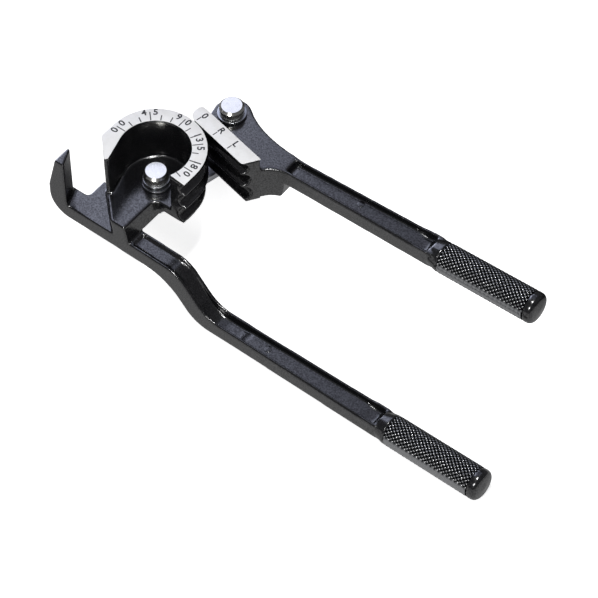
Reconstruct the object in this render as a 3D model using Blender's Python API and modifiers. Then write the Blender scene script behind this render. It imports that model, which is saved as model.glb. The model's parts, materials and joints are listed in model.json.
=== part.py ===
"""Lever tube bender for three tube sizes, modelled at its real size in metres.

A former with three stacked grooves and a hook is cast in one piece with its handle. A slide block with
three matching grooves is cast in one piece with the other handle. A flat link under both castings joins
their pins, so the block rolls round the former and bends a tube between them.

The tool is drawn with the former pin on the Z axis, the former handle along +X and the underside of the
former's base at height zero. One empty then sets the whole tool on its lowest point, centred.
"""

import math

import bmesh
import bpy
from mathutils import Matrix, Vector

# Fits shared by all pieces
GAP = 0.0003
CUT_OVERRUN = 0.002
JOIN_STEP = 0.0001

# Tubes that the tool bends, from the bottom groove to the top one
TUBE_DIAMETERS = (0.009525, 0.0079375, 0.00635)
GROOVE_CLEARANCE = 0.00004
GROOVE_RIB = 0.0010
GROOVE_LAND = 0.0014
STACK_BOTTOM = 0.0122
BOTTOM_LAND_SETBACK = 0.0017

# Printed scales
SCALE_THICKNESS = 0.0004

# Former, seen from above
FORMER_RADIUS = 0.0238
FORMER_WALL = 0.00694
BOWL_FLOOR_SHARE = 0.955
FORMER_END = 0.0080
BOWL_END = 0.0072
HEAD_END_REACH = 0.0084
FORMER_NOSE_ROUND = 0.0026
FORMER_TIP = 0.0018
BOWL_MOUTH_SHARE = 0.44
FLOOR_TOP = 0.0175
FLOOR_BOTTOM = 0.0080
FLOOR_SETBACK = 0.0038
FLOOR_UNDERCUT = 0.0045

# Base under the former and the pedestal that stands on it
NEAR_SIDE = -0.0296
BASE_TOP = 0.0082
BASE_RELIEF = -0.0081
BASE_RIGHT = 0.0
BASE_FAR_SIDE = -0.0190
BASE_SKIRT = 0.0010
PEDESTAL_RIGHT = 0.0054
PEDESTAL_SLOPE = 0.2
PEDESTAL_FILLET = 0.0042
BASE_NOTCH_FILLET = 0.0022

# Hook that holds the tube against the former
HOOK_TOP = 0.0362
HOOK_FOOT_WIDTH = 0.0101
HOOK_HEEL_HEIGHT = 0.0170
HOOK_HEEL_ROUND = 0.0105
HOOK_TOP_WIDTH = 0.0053
HOOK_CLEARANCE = 0.0001
HOOK_MOUTH_LEAN = 0.0041
HOOK_FAR_SIDE = -0.0199
HOOK_TOP_ROUND = 0.0008
HOOK_FILLET = 0.0018

# Handle bars, both channelled above and below
BAR_WIDTH = 0.0102
BAR_FLARE = 0.0010
BAR_WALL = 0.0016
FORMER_BAR_HEIGHT = 0.0083
SLIDE_BAR_HEIGHT = 0.0100
CHANNEL_DEPTH = 0.0037
NECK_CHANNEL_DEPTH = 0.0013
LOWER_CHANNEL_DEPTH = 0.0024
LOWER_CHANNEL_STOP = 0.0045
CHANNEL_END_SLOPE = 0.0016
CHANNEL_END_FILLET = 0.0020

# Neck of the former handle, a crank that drops the bar below the head
NECK_SAG = 0.0006
NECK_DROP = 0.0204
NECK_START = 0.0352
NECK_END = 0.0514
NECK_BENDS = (0.0140, 0.0165)
NECK_HEEL = 0.0070
HEEL_BENDS = (0.0260, 0.0170)
NECK_CHANNEL_START = 0.0090

# Grips
FORMER_GRIP_START = 0.1470
SLIDE_GRIP_START = 0.1177
GRIP_LENGTH = 0.0560
GRIP_START_RADIUS = 0.0073
GRIP_END_RADIUS = 0.0075
FORMER_GRIP_DROP = 0.0004
GRIP_COLLAR = 0.0050
GRIP_COLLAR_RADIUS = 0.0060
GRIP_OVERLAP = 0.0006
GRIP_END_ROUND = 0.0024
GRIP_DOME = 0.0007

# Link and the two pins that it joins
LINK_REST_ANGLE = math.radians(76.7)
LINK_WIDTH = 0.0120
LINK_THICKNESS = 0.0031
PIN_RADIUS = 0.0040
PIN_HEAD_RADIUS = 0.0058
PIN_CROWN_RADIUS = 0.0048
PIN_CROWN = 0.0011
FORMER_PIN_TOP = 0.0262
SLIDE_PIN_TOP = 0.0392
SPACER_RADIUS = 0.0064
SPACER_HEIGHT = 0.0022
WASHER_RADIUS = 0.0068
WASHER_THICKNESS = 0.0011
REAR_WASHER_RADIUS = 0.0060
CLIP_RADIUS = 0.0055
CLIP_THICKNESS = 0.0008
CLIP_GROOVE_DEPTH = 0.0007
CLIP_OPENING = math.radians(70)
PIN_TAIL = 0.0010
PIN_TAIL_CHAMFER = 0.0005

# Slide block, seen from above in the frame of its own groove face
FACE_GAP = 0.0004
FACE_ANGLE = math.radians(-12.0)
SLIDE_NOSE = -0.0071
SLIDE_NOSE_ROUND = 0.0046
SLIDE_BACK_ROUND = 0.0020
SLIDE_HEEL_X = 0.0310
SLIDE_HEEL_ROUND = 0.0018
SLIDE_HEEL_DRAFT = 0.0013
SLIDE_STRIP_WIDTH = 0.0082
PIN_SETBACK = 0.0111
SLIDE_STRIP_END = 0.0344
ARM_TOP = 0.0330
BOSS_RADIUS = 0.0092

# Slide handle, in the frame of its bar
SLIDE_BAR_ANGLE = math.radians(14.0)
SLIDE_BAR_OFFSET = -0.0086
ARM_BOSS_ANGLE = math.radians(50)
ARM_REACH = 0.0480
ARM_INSET = 0.0035
ARM_SHOULDER = 0.0386
ARM_SHOULDER_LEAN = 0.0028
ARM_SHOULDER_ROUND = 0.0040
ARM_DRAFT = (-0.0010, 0.0016)
SLIDE_CHANNEL_START = 0.0394

# Steps of round shapes, and the limits for welding and for sharp edges
ARC_STEP = math.radians(7.5)
BEND_STEPS = 8
WELD_DISTANCE = 1e-7
SEAM_DISTANCE = 1e-6
SHARP_ANGLE = math.radians(30)
GROOVE_SIDES_RESOLUTION = 5
GRIP_SEGMENTS = 32
PIN_SEGMENTS = 32

# Sizes that follow from the ones above
GROOVE_RADII = tuple(diameter / 2 + GROOVE_CLEARANCE for diameter in TUBE_DIAMETERS)
STACK_TOP = STACK_BOTTOM + 2 * GROOVE_LAND + 2 * GROOVE_RIB + 2 * sum(GROOVE_RADII)
CASTING_TOP = STACK_TOP - SCALE_THICKNESS - GAP
HEAD_END_OFFSET = FORMER_RADIUS + HEAD_END_REACH
HOOK_MOUTH_X = -FORMER_RADIUS - GROOVE_RADII[0] - HOOK_CLEARANCE
HOOK_HEEL_X = HOOK_MOUTH_X - HOOK_FOOT_WIDTH
FAR_SIDE = NEAR_SIDE + BAR_WIDTH
BAR_CENTRE = NEAR_SIDE + BAR_WIDTH / 2
LINK_TOP = FLOOR_BOTTOM - GAP
LINK_BOTTOM = LINK_TOP - LINK_THICKNESS
BOWL_RADIUS = FORMER_RADIUS - FORMER_WALL
BAR_START = NECK_END + NECK_BENDS[1]
FORMER_BAR_END = FORMER_GRIP_START + GRIP_OVERLAP
SLIDE_BAR_END = SLIDE_GRIP_START + GRIP_OVERLAP
PIN_BEHIND_FACE = SLIDE_STRIP_WIDTH + PIN_SETBACK
LINK_LEAN = math.pi / 2 - LINK_REST_ANGLE + FACE_ANGLE
LINK_LENGTH = (FORMER_RADIUS + FACE_GAP + PIN_BEHIND_FACE) / math.cos(LINK_LEAN)

BLACK = (0.012, 0.012, 0.014)
WHITE = (0.85, 0.86, 0.87)
STEEL = (0.78, 0.79, 0.80)
ZINC = (0.62, 0.66, 0.70)


def clear_scene():
    for thing in list(bpy.data.objects):
        bpy.data.objects.remove(thing, do_unlink=True)


def new_collection(name):
    collection = bpy.data.collections.new(name)
    bpy.context.scene.collection.children.link(collection)
    return collection


def material(name, colour, roughness, metallic):
    """One plain finish."""
    finish = bpy.data.materials.new(name)
    finish.use_nodes = True
    shader = finish.node_tree.nodes["Principled BSDF"]
    shader.inputs["Base Color"].default_value = (*colour, 1)
    shader.inputs["Roughness"].default_value = roughness
    shader.inputs["Metallic"].default_value = metallic
    return finish


def arc(centre, radius, start, end):
    """Points along an arc, both ends included."""
    steps = max(2, math.ceil(abs(end - start) / ARC_STEP))
    angles = [start + (end - start) * step / steps for step in range(steps + 1)]
    return [Vector(centre) + Vector((math.cos(angle), math.sin(angle))) * radius for angle in angles]


def bend(start, control, end):
    """Points along a curve that leaves start towards control and arrives at end from it."""
    shares = [step / BEND_STEPS for step in range(BEND_STEPS + 1)]
    points = [Vector(start), Vector(control), Vector(end)]
    legs = [(points[0].lerp(points[1], share), points[1].lerp(points[2], share)) for share in shares]
    return [leg[0].lerp(leg[1], share) for leg, share in zip(legs, shares)]


def rounded(corners):
    """An outline from corners given as (x, y) or (x, y, radius), each radius made an arc."""
    points = []
    for index, corner in enumerate(corners):
        spot = Vector(corner[:2])
        if len(corner) == 2:
            points.append(spot)
            continue
        before = (Vector(corners[index - 1][:2]) - spot).normalized()
        after = (Vector(corners[(index + 1) % len(corners)][:2]) - spot).normalized()
        half = before.angle(after) / 2
        middle = spot + (before + after).normalized() * corner[2] / math.sin(half)
        first = spot + before * corner[2] / math.tan(half) - middle
        turn = math.pi - 2 * half
        if before.x * after.y - before.y * after.x > 0:
            turn = -turn
        steps = max(2, math.ceil(abs(turn) / ARC_STEP))
        for step in range(steps + 1):
            points.append(middle + Matrix.Rotation(turn * step / steps, 2) @ first)
    return points


def adopt(name, mesh, collection):
    """A new object that shows the mesh, in its collection."""
    piece = bpy.data.objects.new(name, mesh)
    collection.objects.link(piece)
    return piece


def as_mesh(guide, name):
    """The evaluated shape of a curve or of a modified object as a welded mesh, and the guide removed."""
    bpy.context.view_layer.update()
    depsgraph = bpy.context.evaluated_depsgraph_get()
    mesh = bpy.data.meshes.new_from_object(guide.evaluated_get(depsgraph))
    mesh.transform(guide.matrix_world)
    work = bmesh.new()
    work.from_mesh(mesh)
    bmesh.ops.remove_doubles(work, verts=work.verts, dist=WELD_DISTANCE)
    bmesh.ops.recalc_face_normals(work, faces=work.faces)
    work.to_mesh(mesh)
    work.free()
    mesh.name = name
    bpy.data.objects.remove(guide, do_unlink=True)
    return mesh


def plate_mesh(name, outlines, low, high):
    """A flat piece with the given outlines, any inner ones as holes, between two heights."""
    curve = bpy.data.curves.new(name, "CURVE")
    curve.dimensions = "2D"
    curve.fill_mode = "BOTH"
    curve.extrude = (high - low) / 2
    for outline in outlines:
        spline = curve.splines.new("POLY")
        spline.points.add(len(outline) - 1)
        for knot, point in zip(spline.points, outline):
            knot.co = (point[0], point[1], 0, 1)
        spline.use_cyclic_u = True
    guide = bpy.data.objects.new(name, curve)
    guide.location.z = (low + high) / 2
    bpy.context.scene.collection.objects.link(guide)
    return as_mesh(guide, name)


def side_mesh(name, outline, near, far):
    """A flat piece standing on edge: its outline is in X and Z, and it runs from near to far along Y."""
    mesh = plate_mesh(name, [outline], -far, -near)
    mesh.transform(Matrix.Rotation(math.pi / 2, 4, "X"))
    return mesh


def turned_mesh(name, profile, segments):
    """A turned piece about Z from (radius, height) points that run from its top to its bottom."""
    mesh = bpy.data.meshes.new(name)
    spots = [(radius, 0, height) for radius, height in profile]
    mesh.from_pydata(spots, [(index, index + 1) for index in range(len(spots) - 1)], [])
    guide = bpy.data.objects.new(name, mesh)
    bpy.context.scene.collection.objects.link(guide)
    screw = guide.modifiers.new("Turn", "SCREW")
    screw.steps = segments
    screw.render_steps = segments
    screw.use_merge_vertices = True
    screw.merge_threshold = SEAM_DISTANCE
    return as_mesh(guide, name)


def groove_mesh(name, path, radius, height):
    """A round bar along a flat path, as a tube would lie in its groove."""
    curve = bpy.data.curves.new(name, "CURVE")
    curve.dimensions = "3D"
    curve.bevel_depth = radius
    curve.bevel_resolution = GROOVE_SIDES_RESOLUTION
    curve.use_fill_caps = True
    spline = curve.splines.new("POLY")
    spline.points.add(len(path) - 1)
    for knot, point in zip(spline.points, path):
        knot.co = (point[0], point[1], height, 1)
    guide = bpy.data.objects.new(name, curve)
    bpy.context.scene.collection.objects.link(guide)
    return as_mesh(guide, name)


def combine(piece, mesh, operation, helpers):
    """Join a mesh to the piece, or cut it from the piece, by a Boolean with a hidden helper object.

    A weld then merges the corners that the cut leaves a hair apart, so the next cut meets a closed shape.
    """
    helper = adopt(mesh.name, mesh, helpers)
    helper.hide_render = True
    helper.display_type = "WIRE"
    helper.parent = piece
    boolean = piece.modifiers.new(mesh.name, "BOOLEAN")
    boolean.object = helper
    boolean.operation = operation
    weld = piece.modifiers.new(f"{mesh.name}_seams", "WELD")
    weld.merge_threshold = SEAM_DISTANCE


def groove_heights():
    """Heights of the groove centres, bottom to top."""
    heights = []
    level = STACK_BOTTOM + GROOVE_LAND
    for radius in GROOVE_RADII:
        heights.append(level + radius)
        level += 2 * radius + GROOVE_RIB
    return heights


def former_tip():
    """Outer corner of the former's blunt left tip."""
    share = BOWL_MOUTH_SHARE
    return Vector((-HEAD_END_OFFSET * share, -HEAD_END_OFFSET * (1 - share)))


def bowl_tangent():
    """Angle on the bowl's round wall where its straight left side leaves it, and that side's end."""
    mouth = former_tip() + Vector((1, 1)).normalized() * FORMER_TIP
    angle = math.atan2(mouth.y, mouth.x) + 2 * math.pi - math.acos(BOWL_RADIUS / mouth.length)
    return angle, mouth


def bowl_end_angle():
    """Angle at which the bowl's round wall meets the former's right end."""
    return -math.asin(BOWL_END / BOWL_RADIUS)


def former_ring_outline():
    """Top of the former: a round wall with two straight ends."""
    left_end = -HEAD_END_OFFSET + FORMER_RADIUS
    tangent, mouth = bowl_tangent()
    outer = arc((0, 0), FORMER_RADIUS, 0, math.pi)
    inner = arc((0, 0), BOWL_RADIUS, tangent, bowl_end_angle())
    nose = rounded([outer[-1], (-FORMER_RADIUS, left_end, FORMER_NOSE_ROUND), former_tip()])[1:] + [mouth]
    return [Vector((FORMER_RADIUS, -FORMER_END))] + outer + nose + inner


def former_floor_mesh(name, setback, low, high):
    """One layer of the former's floor with its pedestal, whose right wall leans outwards to its foot."""
    radius = FORMER_RADIUS - FLOOR_SETBACK
    end = -HEAD_END_OFFSET + JOIN_STEP
    right = -FORMER_END + JOIN_STEP + setback
    near = NEAR_SIDE - 2 * CUT_OVERRUN
    corners = [(radius, right), *arc((0, 0), radius, 0, math.pi), (-radius, end + radius),
               (end - near, near), (PEDESTAL_RIGHT, near),
               (PEDESTAL_RIGHT, right, PEDESTAL_FILLET)]
    mesh = plate_mesh(name, [rounded(corners)], low, high)
    for vertex in mesh.vertices:
        if 0 < vertex.co.x < PEDESTAL_RIGHT + PEDESTAL_FILLET + GAP and vertex.co.y < 0:
            vertex.co.x += PEDESTAL_SLOPE * (FLOOR_TOP - vertex.co.z)
    return mesh


def former_handle(parts, helpers, finish):
    """The casting that carries the hook, the former, the cranked neck and the lower grip."""
    piece = adopt("former_handle", base_block_mesh(NEAR_SIDE - CUT_OVERRUN), parts)
    for mesh in (mouth_mesh(), hook_side_mesh(), base_notch_mesh()):
        combine(piece, mesh, "DIFFERENCE", helpers)
    for mesh in (
        former_floor_mesh("former_floor", 0, STACK_BOTTOM - JOIN_STEP, FLOOR_TOP + JOIN_STEP),
        former_floor_mesh("former_foot", FLOOR_UNDERCUT, FLOOR_BOTTOM, STACK_BOTTOM + JOIN_STEP),
        plate_mesh("former_wall", [former_wall_outline()], STACK_BOTTOM, CASTING_TOP),
        former_bar_mesh(NEAR_SIDE - 3 * CUT_OVERRUN),
    ):
        combine(piece, mesh, "UNION", helpers)
    for mesh in (
        near_trim_mesh(),
        bowl_mesh(),
        *former_groove_meshes(),
        bottom_land_mesh(),
        bar_channel_mesh("neck_channel", neck_channel_outline()),
        bar_channel_mesh("lower_channel", lower_channel_outline()),
        pin_hole_mesh("former_pin_hole", FLOOR_TOP),
    ):
        combine(piece, mesh, "DIFFERENCE", helpers)
    combine(piece, former_bar_tail_mesh(), "UNION", helpers)
    grip = grip_mesh("former_grip", (FORMER_GRIP_START, BAR_CENTRE, lower_grip_height()))
    combine(piece, grip, "UNION", helpers)
    finish_piece(piece, finish)
    return piece


def pin_hole_mesh(name, top):
    """Cutter for a pin's bore through a casting with the given top."""
    bore = PIN_RADIUS + GAP
    high = top + CUT_OVERRUN
    low = -CUT_OVERRUN
    mesh = turned_mesh(name, [(0, high), (bore, high), (bore, low), (0, low)], PIN_SEGMENTS)
    mesh.transform(Matrix.Rotation(ARC_STEP / 2, 4, "Z"))
    return mesh


def bottom_land_mesh():
    """Cutter that sets back the land below the lowest groove of the former."""
    inside = FORMER_RADIUS - BOTTOM_LAND_SETBACK
    outside = FORMER_RADIUS + CUT_OVERRUN
    low = -FORMER_END - CUT_OVERRUN - BOTTOM_LAND_SETBACK
    outline = [Vector((inside, low)), *arc((0, 0), inside, 0, math.pi), Vector((-inside, low)),
               Vector((-outside, low)), *arc((0, 0), outside, math.pi, 0), Vector((outside, low))]
    return plate_mesh("bottom_land", [outline], STACK_BOTTOM - CUT_OVERRUN, groove_heights()[0])


def base_block_mesh(near):
    """Side view of the hook and the base, as a block that the mouth is cut from."""
    side = rounded([(BASE_RIGHT, 0),
                    (HOOK_HEEL_X, 0, HOOK_HEEL_ROUND),
                    (HOOK_HEEL_X, HOOK_HEEL_HEIGHT),
                    (HOOK_MOUTH_X - HOOK_TOP_WIDTH, HOOK_TOP, HOOK_TOP_ROUND),
                    (BASE_RIGHT, HOOK_TOP)])
    return side_mesh("base_block", side, near, BASE_RELIEF)


def mouth_mesh():
    """Cutter above the base: it leaves the hook with its slanted mouth face and a fillet at its foot."""
    near = NEAR_SIDE - 2 * CUT_OVERRUN
    right = BASE_RIGHT + CUT_OVERRUN
    high = HOOK_TOP + CUT_OVERRUN
    side = rounded([(HOOK_MOUTH_X, high), (HOOK_MOUTH_X, BASE_TOP, HOOK_FILLET), (right, BASE_TOP),
                    (right, high)])
    mesh = side_mesh("hook_mouth", side, near, HOOK_FAR_SIDE)
    slope = HOOK_MOUTH_LEAN / (HOOK_FAR_SIDE - NEAR_SIDE)
    for vertex in mesh.vertices:
        vertex.co.x -= slope * (vertex.co.y - NEAR_SIDE)
    return mesh


def hook_side_mesh():
    """Cutter that ends the hook on its far side and clears the rest of the base."""
    left = HOOK_HEEL_X - CUT_OVERRUN
    right = BASE_RIGHT + CUT_OVERRUN
    near = HOOK_FAR_SIDE - JOIN_STEP
    far = BASE_RELIEF + CUT_OVERRUN
    outline = [(left, near), (right, near), (right, far), (left, far)]
    return plate_mesh("hook_side", [outline], BASE_TOP, HOOK_TOP + CUT_OVERRUN)


def base_notch_mesh():
    """Cutter for the far edge of the base, which steps out beside the former."""
    left = HOOK_HEEL_X - 2 * CUT_OVERRUN
    edge = -FORMER_RADIUS - BASE_SKIRT
    far = BASE_RELIEF + 2 * CUT_OVERRUN
    outline = rounded([(left, BASE_FAR_SIDE), (left, far), (edge, far),
                       (edge, BASE_FAR_SIDE, BASE_NOTCH_FILLET)])
    return plate_mesh("base_notch", [outline], -CUT_OVERRUN, BASE_TOP + CUT_OVERRUN)


def near_trim_mesh():
    """Cutter that leaves the casting with a flat near side, which leans out along the handle."""
    reach = 8 * CUT_OVERRUN
    left = HOOK_HEEL_X - CUT_OVERRUN
    right = FORMER_BAR_END + CUT_OVERRUN
    low = BASE_TOP - NECK_DROP - FORMER_BAR_HEIGHT - CUT_OVERRUN
    outline = [(left, NEAR_SIDE), (left, NEAR_SIDE - reach), (right, NEAR_SIDE - reach),
               (right, NEAR_SIDE), (BAR_START, NEAR_SIDE)]
    mesh = plate_mesh("near_side", [outline], low, HOOK_TOP + CUT_OVERRUN)
    flare(mesh, BAR_CENTRE, BAR_START, FORMER_BAR_END)
    return mesh


def flare(mesh, centre, start, end):
    """Widen a mesh along X about its centre line, steadily from the start to the end."""
    for vertex in mesh.vertices:
        share = max(0, (vertex.co.x - start) / (end - start))
        vertex.co.y += math.copysign(BAR_FLARE * share, vertex.co.y - centre)


def former_wall_outline():
    """The solid block that the bowl and the grooves are cut from."""
    left_end = -HEAD_END_OFFSET + FORMER_RADIUS
    mouth = bowl_tangent()[1]
    return rounded([(FORMER_RADIUS, -FORMER_END), *arc((0, 0), FORMER_RADIUS, 0, math.pi),
                    (-FORMER_RADIUS, left_end, FORMER_NOSE_ROUND), tuple(former_tip()), tuple(mouth),
                    (0, -FORMER_END)])


def bowl_mesh():
    """Cutter for the bowl, wider at the top, open towards the near side."""
    tangent, mouth = bowl_tangent()
    touch = Vector((math.cos(tangent), math.sin(tangent))) * BOWL_RADIUS
    beyond = mouth + (mouth - touch)
    wall = arc((0, 0), BOWL_RADIUS, bowl_end_angle(), tangent)
    outline = wall + [beyond, Vector((wall[0].x, beyond.y))]
    mesh = plate_mesh("bowl", [outline], FLOOR_TOP, CASTING_TOP + CUT_OVERRUN)
    for vertex in mesh.vertices:
        if vertex.co.z < FLOOR_TOP + CUT_OVERRUN:
            vertex.co.xy *= BOWL_FLOOR_SHARE
    return mesh


def former_groove_meshes():
    """Cutters for the three grooves round the former."""
    reach = 2 * FORMER_RADIUS
    path = [Vector((FORMER_RADIUS, -reach)), *arc((0, 0), FORMER_RADIUS, 0, math.pi),
            Vector((-FORMER_RADIUS, -reach))]
    return [groove_mesh(f"former_groove_{index + 1}", path, radius, height)
            for index, (radius, height) in enumerate(zip(GROOVE_RADII, groove_heights()))]


def lower_grip_height():
    """Height of the lower grip's axis, about half-way up the bar."""
    return BASE_TOP - NECK_DROP - FORMER_BAR_HEIGHT / 2 - FORMER_GRIP_DROP


def neck_line(lift, shift, bends, start, end):
    """Corners of the cranked line along the neck and the bar, lifted and shifted from the bar's top."""
    top = BASE_TOP - JOIN_STEP + lift
    drop = BASE_TOP - NECK_DROP + lift
    return [(start, top), (NECK_START + shift, top - NECK_SAG, bends[0]),
            (NECK_END + shift, drop, bends[1]), (end, drop)]


def former_bar_mesh(near):
    """The cranked bar from under the pedestal to the grip."""
    start = BASE_RIGHT - GAP
    upper = neck_line(0, 0, NECK_BENDS, start, FORMER_BAR_END)
    lower = neck_line(-FORMER_BAR_HEIGHT, -NECK_HEEL, HEEL_BENDS, start, FORMER_BAR_END)
    mesh = side_mesh("former_bar", rounded(upper + lower[::-1]), near, FAR_SIDE)
    flare(mesh, BAR_CENTRE, BAR_START, FORMER_BAR_END)
    return mesh


def bar_tail_outline(end, centre):
    """Plan view of the end of a bar, which is drawn in where it runs into its grip."""
    half = BAR_WIDTH / 2
    wide = half + BAR_FLARE
    tip = end + GRIP_COLLAR
    return [(end, centre - wide), (tip, centre - half), (tip, centre + half), (end, centre + wide)]


def former_bar_tail_mesh():
    """The drawn-in end of the former's bar, a hair inside the bar that it runs out of."""
    outline = bar_tail_outline(FORMER_BAR_END - JOIN_STEP, BAR_CENTRE)
    high = BASE_TOP - NECK_DROP
    return plate_mesh("former_bar_tail", [outline], high - FORMER_BAR_HEIGHT + JOIN_STEP, high - JOIN_STEP)


def neck_channel_outline():
    """Side view of the channel in the top of the bar, shallow at the neck and deeper along the handle."""
    start = NECK_CHANNEL_START
    end = FORMER_GRIP_START - GRIP_OVERLAP
    lid = NECK_DROP
    floor = neck_line(-NECK_CHANNEL_DEPTH, 0, NECK_BENDS, start, end)
    deeper = CHANNEL_DEPTH - NECK_CHANNEL_DEPTH
    floor[2] = (floor[2][0], floor[2][1] - deeper, NECK_BENDS[1])
    floor[3] = (floor[3][0] - CHANNEL_END_SLOPE, floor[3][1] - deeper, CHANNEL_END_FILLET)
    brim = (end, floor[3][1] + CHANNEL_DEPTH)
    return rounded(floor + [brim, (end, lid), (start, lid)])


def lower_channel_outline():
    """Side view of the channel in the underside of the bar."""
    end = FORMER_GRIP_START - LOWER_CHANNEL_STOP
    return channel_outline(BAR_START, end, BASE_TOP - NECK_DROP - FORMER_BAR_HEIGHT, LOWER_CHANNEL_DEPTH)


def channel_outline(start, end, level, depth):
    """Side view of a straight channel, from a level up by its depth, or down where the depth is negative."""
    over = level - math.copysign(CUT_OVERRUN, depth)
    return rounded([(start, over), (start, level), (start + CHANNEL_END_SLOPE, level + depth),
                    (end - CHANNEL_END_SLOPE, level + depth, CHANNEL_END_FILLET), (end, level), (end, over)])


def bar_channel_mesh(name, outline):
    """Cutter for a channel of the former's bar, between its two side walls."""
    mesh = side_mesh(name, outline, NEAR_SIDE + BAR_WALL, FAR_SIDE - BAR_WALL)
    flare(mesh, BAR_CENTRE, BAR_START, FORMER_BAR_END)
    return mesh


def grip_mesh(name, place):
    """A round grip that swells out of the bar, thickens slightly and ends in a soft dome."""
    end = GRIP_LENGTH
    centre = (end - GRIP_END_ROUND, GRIP_END_RADIUS - GRIP_END_ROUND)
    shoulder = arc(centre, GRIP_END_ROUND, 0, math.pi / 2)
    profile = [(0, end + GRIP_DOME)]
    profile += [(point.y, point.x) for point in shoulder]
    profile += [(GRIP_START_RADIUS, GRIP_COLLAR), (GRIP_COLLAR_RADIUS, 0), (0, 0)]
    mesh = turned_mesh(name, profile, GRIP_SEGMENTS)
    mesh.transform(Matrix.Rotation(math.pi / 2, 4, "Y"))
    mesh.transform(Matrix.Translation(place))
    return mesh


def slide_block_corners(face):
    """The slide block's outline in the frame of its groove face, with the slide pin at the origin."""
    back = face + SLIDE_STRIP_WIDTH
    return [(SLIDE_NOSE, back, SLIDE_BACK_ROUND),
            (SLIDE_NOSE, face, SLIDE_NOSE_ROUND),
            (SLIDE_HEEL_X, face, SLIDE_HEEL_ROUND),
            (SLIDE_STRIP_END, back)]


def slide_block_mesh(face):
    """The block behind the slide's grooves, with draft at its heel."""
    mesh = plate_mesh("slide_handle", [rounded(slide_block_corners(face))], STACK_BOTTOM, CASTING_TOP)
    for vertex in mesh.vertices:
        if vertex.co.x > SLIDE_HEEL_X / 2 and vertex.co.z < ARM_TOP:
            vertex.co.x -= SLIDE_HEEL_DRAFT
    return mesh


def arm_outline():
    """The arm from the boss to the grip, in the frame of the bar."""
    near = SLIDE_BAR_OFFSET - BAR_WIDTH / 2
    far = SLIDE_BAR_OFFSET + BAR_WIDTH / 2
    boss = Vector((math.cos(ARM_BOSS_ANGLE), math.sin(ARM_BOSS_ANGLE))) * BOSS_RADIUS
    slope = Vector((boss.y, -boss.x)).normalized()
    control = boss + slope * (boss.y - far) / -slope.y
    far_edge = bend((ARM_REACH, far), control, boss)
    around = arc((0, 0), BOSS_RADIUS, ARM_BOSS_ANGLE, math.pi)
    to_bar = Matrix.Rotation(-SLIDE_BAR_ANGLE, 2)
    back = -PIN_BEHIND_FACE + SLIDE_STRIP_WIDTH - JOIN_STEP
    nose = to_bar @ Vector((SLIDE_NOSE + SLIDE_BACK_ROUND, back))
    inset = to_bar @ Vector((SLIDE_STRIP_END - ARM_INSET, back - ARM_INSET))
    heel = to_bar @ Vector((SLIDE_STRIP_END - JOIN_STEP, back))
    bar_start = Vector((ARM_SHOULDER + ARM_SHOULDER_ROUND, near))
    shoulder = bend(heel, (ARM_SHOULDER - ARM_SHOULDER_ROUND, near), bar_start)
    tail = [Vector(corner) for corner in bar_tail_outline(SLIDE_BAR_END, SLIDE_BAR_OFFSET)]
    return around + [nose, inset] + shoulder + tail + far_edge[:-1]


def arm_mesh():
    """The arm and the body below it as one block, its near side drafted inwards to the bottom."""
    mesh = plate_mesh("slide_arm", [arm_outline()], STACK_BOTTOM + JOIN_STEP, ARM_TOP)
    for vertex in mesh.vertices:
        if vertex.co.y < SLIDE_BAR_OFFSET / 2 and vertex.co.x > 0 and vertex.co.z < ARM_TOP - CUT_OVERRUN:
            vertex.co.x += ARM_DRAFT[0]
            vertex.co.y += ARM_DRAFT[1]
    return mesh


def under_bar_mesh():
    """Cutter below the slide's bar, with the leaning end of the body."""
    low = STACK_BOTTOM - CUT_OVERRUN
    level = ARM_TOP - SLIDE_BAR_HEIGHT
    right = SLIDE_BAR_END + GRIP_COLLAR + CUT_OVERRUN
    outline = [(ARM_SHOULDER - ARM_SHOULDER_LEAN, low), (right, low), (right, level), (ARM_SHOULDER, level)]
    near = SLIDE_BAR_OFFSET - BAR_WIDTH
    return side_mesh("under_bar", outline, near, near + 2 * BAR_WIDTH)


def slide_bottom_land_mesh(face):
    """Cutter that sets back the land below the lowest groove of the slide block."""
    left = SLIDE_NOSE - CUT_OVERRUN
    right = SLIDE_STRIP_END + CUT_OVERRUN
    front = face - CUT_OVERRUN
    back = face + BOTTOM_LAND_SETBACK
    outline = [(left, front), (right, front), (right, back), (left, back)]
    return plate_mesh("slide_bottom_land", [outline], STACK_BOTTOM - CUT_OVERRUN, groove_heights()[0])


def slide_channel_mesh(name, end, level, depth):
    """Cutter for a channel of the slide's bar, from a level down or up by its depth."""
    outline = channel_outline(SLIDE_CHANNEL_START, end, level, depth)
    half = BAR_WIDTH / 2 - BAR_WALL
    mesh = side_mesh(name, outline, SLIDE_BAR_OFFSET - half, SLIDE_BAR_OFFSET + half)
    flare(mesh, SLIDE_BAR_OFFSET, ARM_REACH, SLIDE_BAR_END)
    return mesh


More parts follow.
